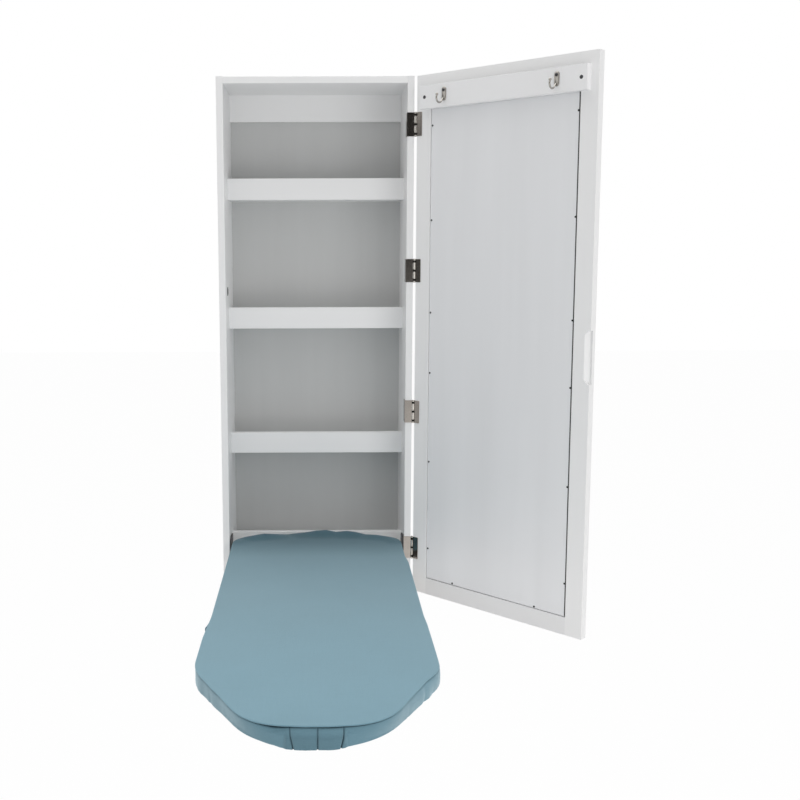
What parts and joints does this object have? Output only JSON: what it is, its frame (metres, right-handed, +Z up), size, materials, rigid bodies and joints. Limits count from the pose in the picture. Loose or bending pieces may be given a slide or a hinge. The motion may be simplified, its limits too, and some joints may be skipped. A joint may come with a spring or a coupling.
{
  "type": "mirrored ironing board cabinet",
  "caption": "Tall wall cabinet with a full-length mirrored door, shallow storage shelves, coat hooks inside the door and a padded ironing board that folds down",
  "frame": {"origin": "Middle of the bottom edge of the cabinet's back, on the wall plane.", "axes": "+X to the right as seen from the room, +Y into the wall, +Z up. The door is drawn open 136.3 degrees and the board lowered."},
  "size_m": [0.6886, 0.9825, 1.045],
  "materials": {
    "white_paint": "satin white lacquer on fibreboard",
    "back_board": "grey foil on hardboard",
    "backing_board": "pale grey foil on hardboard",
    "mirror": "polished silvered glass",
    "dark_brads": "blackened",
    "cover_fabric": "woven cotton, matt",
    "pad_felt": "felted",
    "deck_board": "bare fibreboard",
    "hinge_steel": "dark polished nickel",
    "nickel": "bright nickel",
    "dark_metal": "blackened",
    "arm_steel": "dark grey powder coat",
    "zinc_steel": "bright zinc"
  },
  "bodies": {
    "cabinet": {"back_panel": "back_board", "board_catch": "dark_metal", "bottom_panel": "white_paint", "bracket_screws": "zinc_steel", "hanger_screws": "zinc_steel", "hanging_rail": "white_paint", "hinge_cabinet_leaf_1": "hinge_steel", "hinge_cabinet_leaf_2": "hinge_steel", "hinge_cabinet_leaf_3": "hinge_steel", "hinge_cabinet_leaf_4": "hinge_steel", "hinge_cabinet_screws": "nickel", "hinge_pins": "hinge_steel", "keyhole_hangers": "zinc_steel", "pivot_bracket_left": "arm_steel", "pivot_bracket_right": "arm_steel", "pivot_nuts": "zinc_steel", "pivot_sleeves": "zinc_steel", "pivot_studs": "zinc_steel", "shelf_1": "white_paint", "shelf_2": "white_paint", "shelf_3": "white_paint", "shelf_4": "white_paint", "shelf_lip_1": "white_paint", "shelf_lip_2": "white_paint", "shelf_lip_3": "white_paint", "shelf_lip_4": "white_paint", "side_panel_left": "white_paint", "side_panel_right": "white_paint", "top_panel": "white_paint"},
    "door": {"door_stile_hinge": "white_paint", "door_stile_free": "white_paint", "door_rail_bottom": "white_paint", "door_rail_top": "white_paint", "mirror_glass": "mirror", "mirror_backing": "backing_board", "backing_brads": "dark_brads", "hook_rail": "white_paint", "hook_rail_screws": "dark_metal", "coat_hook_left": "nickel", "coat_hook_right": "nickel", "coat_hook_screws": "nickel", "hinge_door_screws": "nickel", "hinge_door_leaf_1": "hinge_steel", "hinge_door_leaf_2": "hinge_steel", "hinge_door_leaf_3": "hinge_steel", "hinge_door_leaf_4": "hinge_steel"},
    "board": {"board_deck": "deck_board", "board_pad": "pad_felt", "board_cover": "cover_fabric", "cover_tab": "cover_fabric", "board_arm_left": "arm_steel", "board_arm_right": "arm_steel", "arm_screws": "zinc_steel", "stop_pins": "zinc_steel"}
  },
  "joints": [
    {"name": "door_hinge", "type": "hinge", "parent": "cabinet", "child": "door", "pos_m": [0.1974, -0.1743, 0.5225], "axis": [0, 0, 1], "range_deg": [-46.3, 43.7]},
    {"name": "board_fold", "type": "hinge", "parent": "cabinet", "child": "board", "pos_m": [0, -0.151, 0.068], "axis": [-1, 0, 0], "range_deg": [0, 90]}
  ]
}
